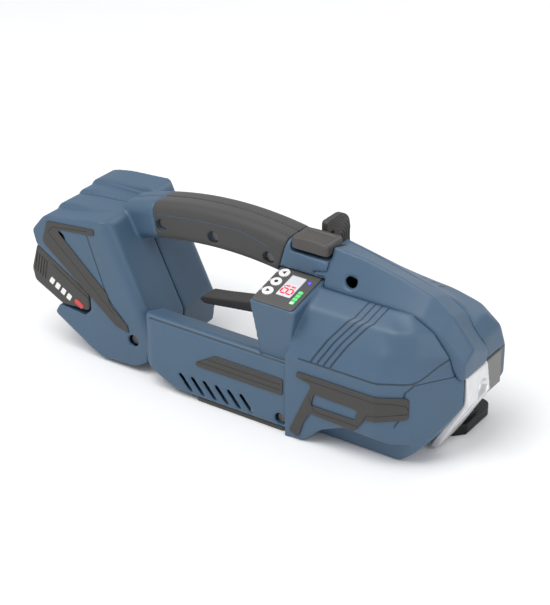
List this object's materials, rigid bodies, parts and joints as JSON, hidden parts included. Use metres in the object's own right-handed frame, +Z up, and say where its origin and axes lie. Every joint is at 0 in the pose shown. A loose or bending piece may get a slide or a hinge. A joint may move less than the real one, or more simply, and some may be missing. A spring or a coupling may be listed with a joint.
{
  "type": "battery strapping tool",
  "caption": "Hand-held battery strapping tool with an arched handle, motor housing, ridged head with control panel, sole plate and slide-in battery.",
  "frame": {"origin": "on the surface the tool rests on, under the middle of its bounding box, in the joint plane of the clamshell halves", "axes": "+X towards the nose, +Z up, -Y towards the side with the control panel"},
  "size_m": [0.3809, 0.1168, 0.146],
  "materials": {
    "blue_housing": "fine satin texture",
    "black_plastic": "fine matte texture",
    "panel_grey": "printed membrane",
    "soft_grip": "soft matte overmould",
    "display_glass": "clear window over a white display",
    "gauge_green": "translucent",
    "lamp_blue": "translucent",
    "board_green": "soldered board",
    "button_grey": "matte",
    "cell_wrap": "shrink wrap",
    "motor_steel": "zinc plated",
    "gear_steel": "ground",
    "cast_aluminium": "machined casting",
    "belt_rubber": "toothed belt",
    "blackened_steel": "blackened",
    "insert_grey": "matte",
    "screw_steel": "blackened zinc",
    "key_white": "printed membrane"
  },
  "bodies": {
    "root": {"near_housing": "blue_housing", "far_housing": "blue_housing", "near_head_cover": "blue_housing", "far_head_cover": "blue_housing", "spine_cover": "blue_housing", "near_grip": "soft_grip", "far_grip": "soft_grip", "side_bumper": "black_plastic", "near_rear_trim": "black_plastic", "far_rear_trim": "black_plastic", "belly_trim": "black_plastic", "skid_pad": "black_plastic", "panel_overlay": "panel_grey", "display": "display_glass", "charge_gauge": "gauge_green", "status_lamp": "lamp_blue", "control_board": "board_green", "button_switch": "black_plastic", "contact_block": "black_plastic", "motor_can": "motor_steel", "motor_mount": "cast_aluminium", "shaft_bearing": "gear_steel", "gear_frame": "cast_aluminium", "cross_bearing": "gear_steel", "weld_bearing": "gear_steel", "drive_belt": "belt_rubber", "sole_plate": "blackened_steel", "lower_gripper": "gear_steel", "lower_weld_pad": "gear_steel", "nose_insert": "insert_grey", "lever_pin": "gear_steel", "release_pin": "gear_steel", "housing_screws": "screw_steel"},
    "battery": {"battery_case": "black_plastic", "battery_cells": "cell_wrap"},
    "thumb_button": {"thumb_button": "button_grey"},
    "key_1": {"key_1": "key_white"},
    "key_2": {"key_2": "key_white"},
    "key_3": {"key_3": "key_white"},
    "rocker_lever": {"rocker_lever": "black_plastic"},
    "release_lever": {"release_lever": "black_plastic"},
    "rotor": {"motor_rotor": "motor_steel", "cooling_fan": "black_plastic", "bevel_pinion": "gear_steel"},
    "cross_drive": {"cross_shaft": "gear_steel", "crown_wheel": "gear_steel", "drive_gear": "gear_steel", "drive_pulley": "cast_aluminium"},
    "feed_rocker": {"feed_rocker": "gear_steel"},
    "feed_drive": {"feed_axle": "gear_steel", "feed_gear": "gear_steel", "feed_wheel": "gear_steel"},
    "eccentric": {"eccentric_shaft": "gear_steel"},
    "weld_plate": {"weld_plate": "gear_steel"},
    "cutter": {"cutter_blade": "gear_steel"}
  },
  "joints": [
    {"name": "battery_slide", "type": "slide", "parent": "root", "child": "battery", "axis": [-0.866, 0, 0.5], "range_m": [0, 0.075]},
    {"name": "thumb_press", "type": "slide", "parent": "root", "child": "thumb_button", "axis": [0, 0, -1], "range_m": [0, 0.0025], "stiffness_N_per_m": 1200, "springref_m": -0.001},
    {"name": "key_1_press", "type": "slide", "parent": "root", "child": "key_1", "axis": [0, 0.2326, -0.9726], "range_m": [0, 0.0004], "stiffness_N_per_m": 2000, "springref_m": -0.0002},
    {"name": "key_2_press", "type": "slide", "parent": "root", "child": "key_2", "axis": [0, 0.2326, -0.9726], "range_m": [0, 0.0004], "stiffness_N_per_m": 2000, "springref_m": -0.0002},
    {"name": "key_3_press", "type": "slide", "parent": "root", "child": "key_3", "axis": [0, 0.2326, -0.9726], "range_m": [0, 0.0004], "stiffness_N_per_m": 2000, "springref_m": -0.0002},
    {"name": "rocker_lever_pull", "type": "hinge", "parent": "root", "child": "rocker_lever", "pos_m": [0.086, 0, 0.072], "axis": [0, 1, 0], "range_deg": [0, 12], "stiffness_Nm_per_rad": 1.5, "springref_deg": -11.46},
    {"name": "feed_rocker_lift", "type": "hinge", "parent": "root", "child": "feed_rocker", "pos_m": [0.092, 0, 0.033], "axis": [0, -1, 0], "range_deg": [0, 6]},
    {"name": "release_lever_press", "type": "hinge", "parent": "root", "child": "release_lever", "pos_m": [0.079, 0.025, 0.109], "axis": [0, -1, 0], "range_deg": [0, 8], "stiffness_Nm_per_rad": 0.8, "springref_deg": -11.46},
    {"name": "rotor_spin", "type": "hinge", "parent": "root", "child": "rotor", "pos_m": [0, -0.0345, 0.033], "axis": [1, 0, 0], "continuous": true},
    {"name": "cross_spin", "type": "hinge", "parent": "root", "child": "cross_drive", "pos_m": [0.092, 0, 0.033], "axis": [0, 1, 0], "continuous": true},
    {"name": "feed_spin", "type": "hinge", "parent": "feed_rocker", "child": "feed_drive", "pos_m": [0.1235, 0.0295, 0.033], "axis": [0, 1, 0], "continuous": true},
    {"name": "eccentric_spin", "type": "hinge", "parent": "root", "child": "eccentric", "pos_m": [0.158, 0, 0.041], "axis": [0, 1, 0], "continuous": true},
    {"name": "weld_vibration", "type": "slide", "parent": "root", "child": "weld_plate", "axis": [1, 0, 0], "range_m": [-0.001, 0.001]},
    {"name": "cutter_stroke", "type": "slide", "parent": "root", "child": "cutter", "axis": [0, 0, -1], "range_m": [0, 0.004], "stiffness_N_per_m": 800, "springref_m": -0.001}
  ],
  "couplings": [
    {"joint": "feed_rocker_lift", "follows": "rocker_lever_pull", "ratio": 0.5},
    {"joint": "cross_spin", "follows": "rotor_spin", "ratio": 0.27273},
    {"joint": "feed_spin", "follows": "rotor_spin", "ratio": -0.11157},
    {"joint": "eccentric_spin", "follows": "rotor_spin", "ratio": 0.27273}
  ]
}
